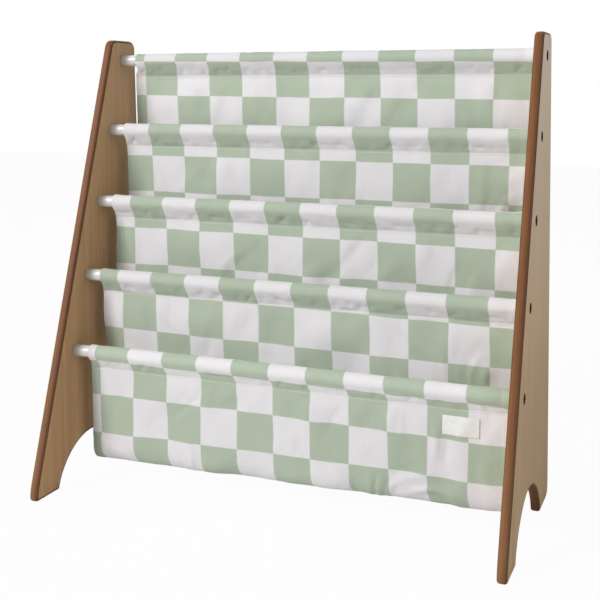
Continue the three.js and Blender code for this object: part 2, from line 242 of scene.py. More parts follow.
# Painted light and shade of the cloth: painted light low on the sheets, on the top strip's sheet, round the
# lowest rod and at the right end, and painted shadow of the left board at the left end
PAINTED_LIGHT_DROPS = (38 * MM, 82 * MM)
PAINTED_LIGHT_BEND_FADE = 60 * MM
PAINTED_LIGHT_SEAM_FADE = 8 * MM
PAINTED_LIGHT_SHARES = {1: 0.6, 2: 0, 3: 0, 4: 0, 5: 0.7}
PAINTED_LIGHT_SLEEVE_REACHES = (-6 * MM, 8 * MM)
PAINTED_LIGHT_END = 90 * MM
PAINTED_SHADOW_REACH = 20 * MM
PAINTED_SHADOW_SHARES = {1: 0.4, 2: 0, 3: 2.2, 4: 1.5}

# Print, read off the photograph in mm. A sleeve or a sheet has its first column boundary, pitch and bow. A
# strip has its first row boundary, counted from its start, with the rows' tilt and pitch. The rows of the
# lowest pocket's front count up from its stitch line.
SQUARE = 50.4
PRINT_SLEEVE = {1: (-257.6, 50.17, 0.7), 2: (-232.2, 50.29, 0.3),
                3: (-243.5, 50.55, 0.1), 4: (-244.3, 50.63, 0.8)}
PRINT_SHEET = {1: (-263.1, 50.57, 1.8), 2: (-235.1, 50.46, 1.15),
               3: (-245.7, 50.61, 0.9), 4: (-245.4, 50.7, 1.1)}
PRINT_ROWS = {1: (112.6, 0.0108, 52.8), 2: (97.1, 0.0032, 49.9),
              3: (97.1, 0.0052, 50.2), 4: (34.6, 0.0113, 50.3)}
PRINT_LOWEST_SLEEVE = (-261.0, 50.56, 0.45)
PRINT_FRONT = (-262.8, 50.77, 1.75)
PRINT_FRONT_ROW = (37.4, 0.0057)
PRINT_FRONT_PITCHES = (51.8, 49.7)
PRINT_FRONT_BOW = 2.2
PRINT_FRONT_COUNT = 8
PRINT_FRONT_FADE = 60 * MM
PRINT_COLUMNS = 10
PRINT_BACK_STRETCHES = {2: 1.08, 3: 1.08}
PRINT_DRIFT = 0.7
SLEEVE_PRINT_FADE = 16 * MM
LOWEST_PRINT_REACHES = (-2 * MM, 14 * MM)

# Stitches
STITCH_LENGTH = 2.8 * MM
STITCH_PITCH = 3.3 * MM
STITCH_SIDES = 6
STITCH_PROFILE_SHARES = ((-0.5, 0.35), (-0.3, 1.0), (0.3, 1.0), (0.5, 0.35))
STITCH_LIFT = 0.1 * MM
STITCH_PROBE = 0.5 * MM
THREAD_RADIUS = 0.34 * MM
HEM_THREAD_RADIUS = 0.22 * MM
SEAM_END_MARGIN = 3 * MM
HEM_END_MARGIN = 5 * MM

# Label
LABEL_HEIGHT = 24 * MM
LABEL_THICKNESS = 0.45 * MM
LABEL_GAP = 0.12 * MM
LABEL_PUFF = 0.35 * MM
LABEL_PUFF_EDGE_SHARE = 0.5
LABEL_WAVE = 0.12 * MM
LABEL_WAVES = (3, 2)
LABEL_SEED = 5
LABEL_ROWS, LABEL_COLUMNS = 17, 31


# Smooth random fields, the same at every run

def ease(value, start=0, end=1):
    """From 0 at the start to 1 at the end, level there and outside them."""
    share = np.clip((value - start) / (end - start), 0, 1)
    return share * share * (3 - 2 * share)


def smooth_noise(x, y, seed):
    """Value noise from -1 to 1 with a lattice of side 1, for arrays x and y."""
    lattice = np.random.default_rng(seed).uniform(-1, 1, (FIELD_CELLS, FIELD_CELLS))
    x0, y0 = np.floor(x).astype(int), np.floor(y).astype(int)
    fx, fy = (part * part * part * (part * (6 * part - 15) + 10) for part in (x - x0, y - y0))

    def corner(dx, dy):
        return lattice[(x0 + dx) % FIELD_CELLS, (y0 + dy) % FIELD_CELLS]

    low = corner(0, 0) * (1 - fx) + corner(1, 0) * fx
    high = corner(0, 1) * (1 - fx) + corner(1, 1) * fx
    return low * (1 - fy) + high * fy


def field(kind, number, across, along, shift=(0, 0)):
    """One of the cloth's smooth fields, at places across and along it; the shift counts in its spans."""
    across_span, along_span, seed = FIELDS[kind]
    return smooth_noise(across / across_span + shift[0], along / along_span + shift[1], seed + number)


# Material tools

def srgb(red, green, blue):
    """Linear colour with alpha from 8 bit display values."""
    values = np.array([red, green, blue]) / 255
    linear = np.where(values <= 0.04045, values / 12.92, ((values + 0.055) / 1.055) ** 2.4)
    return (*[float(v) for v in linear], 1.0)


class Nodes:
    """Adds shader nodes to a material or a world and links them. Colours are given as display values."""

    def __init__(self, owner):
        owner.use_nodes = True
        self.owner = owner
        self.tree = owner.node_tree

    def add(self, kind, settings=None, **inputs):
        node = self.tree.nodes.new("ShaderNode" + kind)
        for key, value in (settings or {}).items():
            setattr(node, key, value)
        self.put_named(node, inputs)
        return node

    def put_named(self, node, inputs):
        for key, value in inputs.items():
            self.put(node.inputs[key.replace("_", " ")], value)

    def put(self, socket, value):
        if isinstance(value, bpy.types.NodeSocket):
            self.tree.links.new(value, socket)
        else:
            socket.default_value = value

    def put_all(self, node, *values):
        for socket, value in zip(node.inputs, values):
            self.put(socket, value)
        return node.outputs[0]

    def math(self, operation, *values):
        return self.put_all(self.add("Math", {"operation": operation}), *values)

    def plus(self, a, b):
        return self.math("ADD", a, b)

    def minus(self, a, b):
        return self.math("SUBTRACT", a, b)

    def times(self, a, b):
        return self.math("MULTIPLY", a, b)

    def between(self, value, ends):
        """From 0 at the first end to 1 at the second, and level outside them."""
        return self.add("MapRange", Value=value, From_Min=ends[0], From_Max=ends[1]).outputs[0]

    def scaled(self, vector, scale):
        return self.add("VectorMath", {"operation": "SCALE"}, Vector=vector, Scale=scale).outputs[0]

    def added(self, a, b):
        return self.put_all(self.add("VectorMath", {"operation": "ADD"}), a, b)

    def parts(self, vector):
        return self.add("SeparateXYZ", Vector=vector).outputs

    def object_place(self):
        return self.add("TexCoord").outputs["Object"]

    def uv(self, name):
        return self.add("UVMap", {"uv_map": name}).outputs["UV"]

    def attribute(self, name):
        return self.add("Attribute", {"attribute_name": name}).outputs["Fac"]

    def stretch(self, vector, scale):
        return self.add("Mapping", Vector=vector, Scale=scale).outputs["Vector"]

    def noise(self, vector, scale, detail, rough=0.5, output="Fac"):
        """Noise with one scale, or with a scale along each axis."""
        if isinstance(scale, tuple):
            vector, scale = self.stretch(vector, scale), 1.0
        node = self.add("TexNoise", Vector=vector, Scale=scale, Detail=detail, Roughness=rough)
        return node.outputs[output]

    def mix(self, factor, a, b):
        node = self.add("Mix", {"data_type": "RGBA"}, Factor=factor, A=a)
        self.put(node.inputs["B"], srgb(*b) if isinstance(b, tuple) else b)
        return node.outputs["Result"]

    def tint(self, color, toward, mask, share):
        """Mixes a colour toward another by a share of a mask."""
        return self.mix(self.times(mask, share), color, toward)

    def ramp(self, factor, *stops):
        node = self.add("ValToRGB", Fac=factor)
        elements = node.color_ramp.elements
        while len(elements) < len(stops):
            elements.new(0.5)
        for element, (place, color) in zip(elements, stops):
            element.position = place
            element.color = srgb(*color)
        return node.outputs["Color"]

    def brighten(self, color, value):
        return self.add("HueSaturation", Value=value, Color=color).outputs[0]

    def bump(self, height, strength, distance):
        return self.add("Bump", Height=height, Strength=strength, Distance=distance).outputs["Normal"]

    def finish(self, **inputs):
        """Sets the material's surface and returns the material."""
        self.put_named(self.tree.nodes["Principled BSDF"], inputs)
        return self.owner


def new_material(name):
    return Nodes(bpy.data.materials.new(name))


def weave(n, uv, threads):
    """Height of a plain weave with this many threads to the unit, warp over weft in turn."""
    parts = n.parts(n.scaled(uv, threads * np.pi))
    across, along = n.math("SINE", parts["X"]), n.math("SINE", parts["Y"])
    over = n.math("GREATER_THAN", n.times(across, along), 0.0)
    lifted = n.times(over, n.math("ABSOLUTE", across))
    sunk = n.times(n.minus(1.0, over), n.math("ABSOLUTE", along))
    return n.plus(lifted, sunk)


def crisp(n, wave):
    """A wave squared off to -1 and 1, with a narrow soft edge."""
    return n.math("MAXIMUM", n.math("MINIMUM", n.times(wave, 28.0), 1.0), -1.0)


# Materials of the boards

def front_line():
    """Slope and start of the line of the panels' front edges, as depth over height."""
    low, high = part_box("side_panel_left")
    front_top = high[1] - REAR_LEAN - TOP_DEPTH
    start = low[1] - TOE_SETBACK
    return float((front_top - start) / high[2]), float(start)


def board_face_material(label):
    """Light wood with upright grain: soft bands, fine dark pores and slow colour drift, under painted sheen
    and painted light and shade.
    """
    deep, middle, light, drifted, pore = FACE_TONES[label]
    painted_lighting, painted_glow, lift = FACE_SHARES[label]
    n = new_material(f"board_face_{label}")
    place = n.object_place()
    drift = n.noise(place, (2.0, 14.0, 1.6), 3.0)
    warp = n.noise(place, (3.0, 9.0, 2.5), 2.0, output="Color")
    band = n.noise(n.added(n.stretch(place, (30.0, 150.0, 2.2)), warp), 1.0, 4.0, 0.55)
    fibre = n.noise(place, (60.0, 1500.0, 16.0), 3.0, 0.6)
    pores = n.noise(place, (60.0, 900.0, 22.0), 1.0)
    color = n.ramp(band, (0.32, deep), (0.5, middle), (0.72, light))
    color = n.tint(color, drifted, drift, 0.45)
    color = n.tint(color, deep, fibre, 0.24)
    dark_pore = n.times(n.math("GREATER_THAN", pores, 0.68), 0.22)
    color = n.mix(dark_pore, color, pore)
    spot = n.parts(place)
    # Painted sheen: the face grows paler upwards, most on the right board.
    color = n.tint(color, (222, 210, 190), n.between(spot["Z"], PAINTED_SHEEN_HEIGHTS), painted_lighting)
    value = board_brightness(n, spot, painted_glow, lift)
    height = n.minus(fibre, n.times(dark_pore, 1.5))
    rough = n.plus(n.times(band, 0.14), 0.52)
    return n.finish(Base_Color=n.brighten(color, value), Roughness=rough, Specular_IOR_Level=0.3,
                    Normal=n.bump(height, 0.35, 0.4 * MM))


def board_brightness(n, spot, painted_glow, lift):
    """Painted light behind the front edge and low down further back, by the glow, and painted light and shade
    by height, by the lift: darker low down, lighter a little way up.
    """
    slope, start = front_line()
    behind = n.minus(spot["Y"], n.plus(n.times(spot["Z"], slope), start))
    lit = n.times(n.between(behind, PAINTED_GLOW_DEPTHS), n.between(spot["Z"], PAINTED_GLOW_HEIGHTS))
    low_lit = n.times(n.between(spot["Z"], LOW_PAINTED_GLOW_HEIGHTS), n.between(behind, LOW_PAINTED_GLOW_DEPTHS))
    fade = n.times(n.between(spot["Z"], PAINTED_LIGHT_FADE_HEIGHTS), PAINTED_LIGHT_FADE_SHARE)
    rise = n.minus(n.minus(n.between(spot["Z"], PAINTED_LIGHT_HEIGHTS), fade), PAINTED_SHADE_BASE_SHARE)
    # Painted light and shade: brighter behind the front edge and low down near the cloth, darker near the
    # foot and brighter a little way up.
    value = n.plus(n.plus(n.times(lit, painted_glow), 1.0), n.times(low_lit, LOW_PAINTED_GLOW_SHARE * painted_glow))
    return n.plus(value, n.times(rise, lift))


def board_edge_material():
    """Rounded edge of the board, stained red brown and worn low down, with a darker line along its seam and
    painted shade on its right-hand side.
    """
    n = new_material("board_edge")
    place = n.object_place()
    streak = n.noise(place, (900.0, 60.0, 14.0), 3.0, 0.6)
    blotch = n.noise(place, (60.0, 30.0, 22.0), 3.0)
    color = n.ramp(streak, (0.3, (93, 54, 22)), (0.55, (131, 80, 37)), (0.8, (157, 103, 51)))
    color = n.tint(color, (123, 73, 32), blotch, 0.5)
    spot = n.parts(place)
    worn = n.between(n.plus(spot["Z"], n.times(blotch, 0.1)), EDGE_WEAR_HEIGHTS)
    color = n.tint(color, (165, 125, 86), worn, 0.4)
    # Painted shade: the right-hand side of each rounded edge, which turns away from the key lamp, is darker.
    low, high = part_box("side_panel_right")
    from_middle = n.minus(n.math("ABSOLUTE", spot["X"]), float(low[0] + high[0]) / 2)
    toward_right = n.times(from_middle, n.math("SIGN", spot["X"]))
    color = n.tint(color, (66, 38, 20), n.between(toward_right, EDGE_PAINTED_SHADE_REACH), 0.55)
    seam = n.math("MAXIMUM", n.minus(1.0, n.times(n.attribute("turn"), 1.4)), 0.0)
    color = n.tint(color, (84, 50, 30), seam, 0.7)
    rough = n.plus(n.times(streak, 0.2), 0.45)
    return n.finish(Base_Color=color, Roughness=rough, Specular_IOR_Level=0.3,
                    Normal=n.bump(streak, 0.3, 0.3 * MM))


def speckled_material(name, scale, stops, bump, **surface):
    """A plain material whose colour and bumps follow one fine noise."""
    n = new_material(name)
    speckle = n.noise(n.object_place(), scale, 3.0)
    return n.finish(Base_Color=n.ramp(speckle, *stops), Normal=n.bump(speckle, *bump), **surface)


# Materials of the rods, plugs and bolts

def rod_paint_material():
    """White powder coat: glossy, with a faint orange peel, slight grey drift and painted shade at its ends,
    next to the panels.
    """
    n = new_material("rod_white")
    place = n.object_place()
    peel = n.noise(place, 900.0, 2.0)
    drift = n.noise(place, 40.0, 2.0)
    color = n.ramp(drift, (0.35, (218, 219, 220)), (0.7, (230, 231, 232)))
    # Painted shade: the rods darken towards their ends, where the panels shut out light.
    across = n.math("ABSOLUTE", n.parts(place)["X"])
    painted_shade = n.between(n.plus(across, n.times(drift, 4 * MM)), ROD_PAINTED_SHADE_REACH)
    color = n.tint(color, (150, 146, 134), painted_shade, 0.8)
    rough = n.plus(n.times(drift, 0.12), 0.12)
    return n.finish(Base_Color=color, Roughness=rough, Coat_Weight=0.8, Coat_Roughness=0.08,
                    Normal=n.bump(peel, 0.05, 0.4 * MM))


def bolt_material():
    """Black oxide steel, worn lighter where the key turns."""
    n = new_material("bolt_black")
    place = n.object_place()
    grain = n.noise(place, 2500.0, 4.0)
    wear = n.noise(place, 500.0, 2.0)
    color = n.ramp(wear, (0.45, (14, 13, 12)), (0.8, (34, 31, 28)))
    rough = n.plus(n.times(grain, 0.2), 0.7)
    return n.finish(Base_Color=color, Metallic=0.2, Roughness=rough, Specular_IOR_Level=0.12,
                    Normal=n.bump(grain, 0.15, 0.2 * MM))


# Materials of the cloth

def check_cloth_material():
    """Canvas printed with a sage and off-white check, brightened and darkened by painted light and shade. One
    UV map counts squares, the other metres.
    """
    n = new_material("check_cloth")
    metres = n.uv("cloth")
    bleed = n.noise(metres, 900.0, 2.0, output="Color")
    parts = n.parts(n.scaled(n.added(n.uv("print"), n.scaled(bleed, 0.012)), np.pi))
    column, row = (crisp(n, n.math("SINE", parts[axis])) for axis in "XY")
    ink = n.minus(0.5, n.times(n.times(column, row), 0.5))
    heather = n.noise(metres, (500.0, 2600.0, 1.0), 3.0, 0.6)
    slub = n.noise(metres, (2600.0, 420.0, 1.0), 3.0, 0.6)
    fibre = n.times(n.plus(heather, slub), 0.5)
    cloud = n.noise(metres, 14.0, 3.0)
    sage = n.ramp(fibre, (0.35, (172, 185, 165)), (0.65, (189, 201, 182)))
    pale = n.ramp(fibre, (0.35, (226, 223, 225)), (0.65, (240, 237, 240)))
    sage = n.tint(sage, (170, 185, 163), cloud, 0.3)
    pale = n.tint(pale, (228, 223, 226), cloud, 0.3)
    # Painted light and shade: the strip's point attribute brightens the print where light is painted and
    # darkens it where shadow is painted.
    value = n.plus(n.times(n.attribute("painted_lighting"), 0.14), 0.975)
    color = n.brighten(n.mix(ink, pale, sage), value)
    height = n.plus(weave(n, metres, 1600.0), n.times(fibre, 1.2))
    return n.finish(Base_Color=color, Roughness=0.88, Sheen_Weight=0.18, Sheen_Roughness=0.5,
                    Specular_IOR_Level=0.2, Normal=n.bump(height, 0.35, 0.25 * MM))


def label_material():
    """White woven tape."""
    n = new_material("label_tape")
    metres = n.uv("cloth")
    color = n.ramp(n.noise(metres, 160.0, 3.0), (0.3, (239, 238, 233)), (0.7, (247, 247, 243)))
    rib = weave(n, metres, 2200.0)
    return n.finish(Base_Color=color, Roughness=0.8, Sheen_Weight=0.15, Normal=n.bump(rib, 0.4, 0.2 * MM))


def thread_material():
    """Pale grey-green sewing thread."""
    n = new_material("thread")
    twist = n.noise(n.object_place(), 2600.0, 2.0)
    color = n.ramp(twist, (0.3, (203, 207, 194)), (0.7, (224, 227, 216)))
    return n.finish(Base_Color=color, Roughness=0.7, Sheen_Weight=0.2, Normal=n.bump(twist, 0.3, 0.1 * MM))


# Mesh tools

def new_object(name, data):
    item = bpy.data.objects.new(name, data)
    bpy.context.scene.collection.objects.link(item)
    return item


def new_piece(name, vertices, faces, material, smooth=True):
    mesh = bpy.data.meshes.new(name)
    mesh.from_pydata([tuple(map(float, v)) for v in vertices], [], [tuple(map(int, f)) for f in faces])
    mesh.materials.append(material)
    mesh.polygons.foreach_set("use_smooth", [smooth] * len(mesh.polygons))
    mesh.update()
    return new_object(name, mesh)


def settle(piece, slot, *nodes):
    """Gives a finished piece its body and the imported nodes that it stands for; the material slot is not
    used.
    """
    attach(piece, "root")
    if nodes:
        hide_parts(*nodes)
    return piece


def whole_turn(count):
    return np.linspace(0, 2 * np.pi, count, endpoint=False)


def ring_faces(rings, count):
    """Quads between rings of count points each, numbered one after another."""
    faces = []
    for base in range(0, (rings - 1) * count, count):
        for index in range(count):
            after = (index + 1) % count
            faces.append((base + index, base + after, base + count + after, base + count + index))
    return faces


def ring_points(rings, centre, segments):
    """Points of rings round an axis that runs across; each ring has its place and its radius or radii."""
    angle = whole_turn(segments)
    circles = []
    for across, radius in rings:
        y, z = centre[0] + radius * np.cos(angle), centre[1] + radius * np.sin(angle)
        circles.append(np.stack([np.full(segments, across), y, z], 1))
    return np.concatenate(circles)


def sheet_piece(name, outer, inner, material, turned=False):
    """A closed sheet between two grids of points; turned says that its first grid faces the other way."""
    rows, columns = outer.shape[:2]
    under = rows * columns
    index = np.arange(under).reshape(rows, columns)
    corners = [index[:-1, :-1], index[:-1, 1:], index[1:, 1:], index[1:, :-1]]
    rim = np.concatenate([index[0, :], index[1:, -1], index[-1, -2::-1], index[-2:0:-1, 0]])
    after = np.roll(rim, -1)
    wall = [after, rim, rim + under, after + under]
    if turned:
        corners = [corners[place] for place in (0, 3, 2, 1)]
        wall = [wall[place] for place in (1, 0, 3, 2)]
    top = np.stack(corners, 2).reshape(-1, 4)
    faces = np.concatenate([top, top[:, ::-1] + under, np.stack(wall, 1)])
    return new_piece(name, np.concatenate([outer.reshape(-1, 3), inner.reshape(-1, 3)]), faces, material)


def set_uv(mesh, name, u, v):
    """A UV map from two grids of values, the same on both faces of a sheet."""
    one_face = np.stack([u, v], 2).reshape(-1, 2)
    both = np.concatenate([one_face, one_face]).astype(np.float32)
    loops = np.zeros(len(mesh.loops), int)
    mesh.loops.foreach_get("vertex_index", loops)
    mesh.uv_layers.new(name=name).data.foreach_set("uv", both[loops].ravel())


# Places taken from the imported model

def box_centre(node):
    """Middle of a node's box, and its size."""
    low, high = (np.array(corner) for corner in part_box(node))
    return (low + high) / 2, high - low


ROD_PLACES = [box_centre(f"rod_{number}")[0][1:] for number in range(1, ROD_COUNT + 1)]
ROD_RADIUS = box_centre("rod_1")[1][2] / 2
CLOTH_LEFT, CLOTH_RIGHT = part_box("sleeve_1")[0][0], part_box("sleeve_1")[1][0]
CLOTH_WIDTH = CLOTH_RIGHT - CLOTH_LEFT
SLEEVE_DROP = ROD_PLACES[0][1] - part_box("sleeve_1")[0][2]
POCKET_DROP = ROD_PLACES[-1][1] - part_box(f"pocket_{LAST_STRIP}")[0][2]
SLEEVE_RADIUS = ROD_RADIUS + ROD_CLEARANCE + CLOTH / 2


# Outlines in depth and height

def bezier(points, steps):
    """Curve of Bezier's kind on three or four points."""
    t = np.linspace(0, 1, steps + 1)[:, None]
    a, *handles, d = (np.array(point, float) for point in points)
    if len(handles) == 1:
        return (1 - t) ** 2 * a + 2 * (1 - t) * t * handles[0] + t * t * d
    b, c = handles
    return (1 - t) ** 3 * a + 3 * (1 - t) ** 2 * t * b + 3 * (1 - t) * t * t * c + t ** 3 * d


def rounded(before, corner, after, radius, steps=10):
    """A corner's rounding, between the two sides that meet there."""
    before, corner, after = (np.array(point, float) for point in (before, corner, after))
    inward = (before - corner) / np.linalg.norm(before - corner)
    outward = (after - corner) / np.linalg.norm(after - corner)
    reach = radius / np.tan(np.arccos(inward @ outward) / 2)
    return bezier((corner + inward * reach, corner, corner + outward * reach), steps)


def arch_halves(front_arch, rear_arch):
    """The arch's curve from the rear foot up to its crown, and from there down to the front foot."""
    crown = front_arch + ARCH_CROWN_SHARE * (rear_arch - front_arch)
    halves = []
    for foot in (rear_arch, front_arch):
        span = foot - crown
        low_handle = (foot - ARCH_HANDLE_SHARES["side"] * span, ARCH_HANDLE_SHARES["rise"] * ARCH_HEIGHT)
        high_handle = (crown + ARCH_HANDLE_SHARES["crown"] * span, ARCH_HEIGHT)
        halves.append([(foot, 0), low_handle, high_handle, (crown, ARCH_HEIGHT)])
    return bezier(halves[0], ARCH_STEPS), bezier(halves[1][::-1], ARCH_STEPS)


def panel_outline(low, high):
    """Outline in depth and height, counter-clockwise from the front foot's rear corner."""
    toe, heel, top = low[1], high[1], high[2]
    top_rear = heel - REAR_LEAN
    top_front = top_rear - TOP_DEPTH
    slope = (top_front - toe + TOE_SETBACK) / top
    knee = TOE_SETBACK / slope
    front_arch, rear_arch = toe + FRONT_FOOT_LENGTH, heel - REAR_FOOT_LENGTH
    rear_half, front_half = arch_halves(front_arch, rear_arch)
    parts = [
        rounded(front_half[-3], (front_arch, 0), (toe, 0), ARCH_FOOT_RADIUS, 5),
        bezier([(toe + TOE_RADIUS, 0), (toe, 0), (toe, TOE_RADIUS)], 6),
        bezier([(toe, TOE_RADIUS), (toe, knee), (toe + knee * slope, 2 * knee)], 6)[1:],
        rounded((toe, knee), (top_front, top), (top_rear, top), TOP_CORNER_RADIUS),
        rounded((top_front, top), (top_rear, top), (heel, 0), TOP_CORNER_RADIUS),
        bezier([(heel, HEEL_RADIUS), (heel, 0), (heel - HEEL_RADIUS, 0)], 10),
        rounded((heel, 0), (rear_arch, 0), rear_half[2], ARCH_FOOT_RADIUS, 5),
        rear_half[2:],
        front_half[1:-2],
    ]
    return np.concatenate(parts)[::-1]


def inset(outline, distance):
    """Outline moved inwards along its corner normals."""
    normals = []
    for side in (outline - np.roll(outline, 1, 0), np.roll(outline, -1, 0) - outline):
        side /= np.linalg.norm(side, axis=1)[:, None]
        normals.append(np.stack([-side[:, 1], side[:, 0]], 1))
    middle = normals[0] + normals[1]
    middle /= np.linalg.norm(middle, axis=1)[:, None]
    lengthen = 1 / np.maximum((middle * normals[0]).sum(1), 0.5)
    return outline + middle * (distance * lengthen)[:, None]


def circle(centre, radius, count=40):
    angle = whole_turn(count)
    return centre + radius * np.stack([np.cos(angle), np.sin(angle)], 1)


# Side panels

def add_loop(mesh, points, x):
    return [mesh.verts.new((x, y, z)) for y, z in points]


def bridge(mesh, loops, material):
    """Smooth quads from each loop to the next."""
    for loop_a, loop_b in zip(loops, loops[1:]):
        for index, vert in enumerate(loop_a):
            after = (index + 1) % len(loop_a)
            face = mesh.faces.new((vert, loop_a[after], loop_b[after], loop_b[index]))
            face.material_index = material
            face.smooth = True


def fill(mesh, loops, material):
    """Flat faces inside the first loop and outside the others."""
    edges = []
    for loop in loops:
        for index, vert in enumerate(loop):
            pair = (vert, loop[(index + 1) % len(loop)])
            edges.append(mesh.edges.get(pair) or mesh.edges.new(pair))
    for item in bmesh.ops.triangle_fill(mesh, use_beauty=True, edges=edges)["geom"]:
        if isinstance(item, bmesh.types.BMFace):
            item.material_index = material
            item.smooth = False


def edge_profile(half):
    """Points across a board's rounded edge, from its outer face to its inner one: place, inset and turn."""
    angles = np.linspace(0, np.pi / 2, EDGE_STEPS)
    profile = [(half - EDGE_ROUND * (1 - np.cos(a)), EDGE_ROUND * (1 - np.sin(a)), a) for a in angles]
    return profile + [(-x, distance, a) for x, distance, a in reversed(profile)]


def make_panel(label, side):
    """One side panel: a rounded edge all round, and a recessed bore for each bolt in the outer face."""
    node = f"side_panel_{label}"
    low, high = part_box(node)
    outline = panel_outline(low, high)
    middle, half = (low[0] + high[0]) / 2, (high[0] - low[0]) / 2
    outer, inner = middle + side * half, middle - side * half
    ledge = outer - side * RECESS_DEPTH
    mesh = bmesh.new()
    turn = mesh.verts.layers.float.new("turn")
    rims = []
    for x, distance, angle in edge_profile(half):
        rims.append(add_loop(mesh, inset(outline, distance), middle + side * x))
        for vert in rims[-1]:
            vert[turn] = 2 * angle / np.pi
    bridge(mesh, rims, 1)
    steps = ((RECESS_RADIUS, outer), (RECESS_RADIUS, ledge), (BORE_RADIUS, ledge), (BORE_RADIUS, inner))
    bores = []
    for centre in ROD_PLACES:
        bores.append([add_loop(mesh, circle(centre, radius), x) for radius, x in steps])
        bridge(mesh, bores[-1], 2)
    fill(mesh, [rims[0], *(bore[0] for bore in bores)], 0)
    fill(mesh, [rims[-1], *(bore[-1] for bore in bores)], 0)
    bmesh.ops.recalc_face_normals(mesh, faces=mesh.faces)
    data = bpy.data.meshes.new(f"panel_{label}")
    mesh.to_mesh(data)
    mesh.free()
    for material in (BOARD_FACES[label], BOARD_EDGE, SHADED_BOARD_BORE):
        data.materials.append(material)
    return settle(new_object(f"panel_{label}", data), "board", node)


# Rods and bolts

def sharpen(piece):
    piece.data.set_sharp_from_angle(angle=np.radians(SHARP_ANGLE))


def make_rod(number):
    """Hollow rod with softened ends."""
    node = f"rod_{number}"
    (left, *_), (right, *_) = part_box(node)
    outer, inner = ROD_RADIUS, ROD_RADIUS - ROD_WALL
    rings = [
        (left, inner + ROD_LIP),
        (left, outer - ROD_LIP),
        (left + ROD_LIP, outer),
        (right - ROD_LIP, outer),
        (right, outer - ROD_LIP),
        (right, inner + ROD_LIP),
        (right - ROD_LIP, inner),
        (left + ROD_LIP, inner),
    ]
    points = ring_points(rings, ROD_PLACES[number - 1], ROD_SEGMENTS)
    faces = ring_faces(len(rings) + 1, ROD_SEGMENTS)
    faces = [tuple(corner % len(points) for corner in face) for face in faces]
    rod = new_piece(f"white_rod_{number}", points, faces, ROD_PAINT)
    sharpen(rod)
    return settle(rod, "rod_paint", node)


def hexagon(half_across_flats, angle):
    """Distance to a hexagon's side at an angle."""
    sector = (angle + np.pi / 6) % (np.pi / 3) - np.pi / 6
    return half_across_flats / np.cos(sector)


def make_bolt(label, side, number):
    """Bolt with a chamfered head, a hexagonal socket and a plain shank into the rod's plug."""
    node = f"bolt_{label}_{number}"
    low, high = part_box(node)
    face, tip = (high[0], low[0]) if side > 0 else (low[0], high[0])
    head = (high[2] - low[2]) / 2
    seat = face - side * HEAD_THICKNESS
    flat = hexagon(SOCKET_ACROSS_FLATS / 2, whole_turn(BOLT_SEGMENTS))
    rings = [
        (face - side * SOCKET_DEPTH, flat * CAP_SHARE),
        (face - side * SOCKET_DEPTH, flat),
        (face - side * SOCKET_LEAD_DEPTH, flat),
        (face, flat + SOCKET_LEAD),
        (face, head - HEAD_CHAMFER),
        (face - side * HEAD_CHAMFER, head),
        (seat, head),
        (seat, SHANK_RADIUS),
        (tip + side * TIP_CHAMFER, SHANK_RADIUS),
        (tip, SHANK_RADIUS * TIP_SHARE),
        (tip, SHANK_RADIUS * CAP_SHARE),
    ]
    points = ring_points(rings, ROD_PLACES[number - 1], BOLT_SEGMENTS)
    faces = ring_faces(len(rings), BOLT_SEGMENTS)
    faces.append(tuple(range(BOLT_SEGMENTS))[::-1])
    faces.append(tuple(range(len(points) - BOLT_SEGMENTS, len(points))))
    if side < 0:
        faces = [corners[::-1] for corners in faces]
    bolt = new_piece(f"hex_bolt_{label}_{number}", points, faces, BOLT_BLACK)
    sharpen(bolt)
    return settle(bolt, "bolt", node)


def dress_plug(label, number):
    """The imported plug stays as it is, in its own material."""
    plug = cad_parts[f"rod_plug_{label}_{number}"]
    plug.data.materials.clear()
    plug.data.materials.append(PLUG_NYLON)


# Cloth routes, in side view

def seam_place(number, layer=0):
    """Crease where a sleeve meets the sheet under it, above its stitch line; later layers lie behind."""
    return ROD_PLACES[number - 1] + np.array([SEAM_SETBACK + layer * LAYER_STEP, CREASE_RISE - SLEEVE_DROP])


def over_rod(number):
    """Points over a rod, from the back tangent of its sleeve to the front one."""
    rod = ROD_PLACES[number - 1]

    def tangent(point, side):
        away = point - rod
        return np.arctan2(away[1], away[0]) + side * np.arccos(SLEEVE_RADIUS / np.hypot(*away))

    back = tangent(seam_place(number, 1), 1)
    front = tangent(seam_place(number), -1) + 2 * np.pi
    angle = np.linspace(back, front, SLEEVE_STEPS)
    return rod + SLEEVE_RADIUS * np.stack([np.cos(angle), np.sin(angle)], 1)


def sheet_depth(number, drop):
    """Depth of the sheet that hangs under a rod's seam, at a drop below that seam."""
    pitch = ROD_PLACES[0][1] - ROD_PLACES[1][1]
    share = drop / (pitch + POCKET_DROP - SLEEVE_DROP)
    return ROD_PLACES[number - 1][0] + SEAM_SETBACK + SHEET_DRIFT * share


def pocket_bend(number):
    """Round the bottom of the pocket between a strip's sheet and the next rod's."""
    front, lower_seam = seam_place(number), seam_place(number + 1)
    bottom = ROD_PLACES[number][1] - POCKET_DROP + CLOTH / 2
    rear = sheet_depth(number, front[1] - bottom)
    fore = lower_seam[0]
    if number < LAST_STRIP:
        fore = sheet_depth(number + 1, lower_seam[1] - bottom) + 2 * LAYER_STEP
    turn = np.linspace(0, np.pi, BEND_STEPS)
    depth = (rear + fore) / 2 + (rear - fore) / 2 * np.cos(turn)
    return np.stack([depth, bottom + BEND_HEIGHT * (1 - np.sin(turn))], 1)


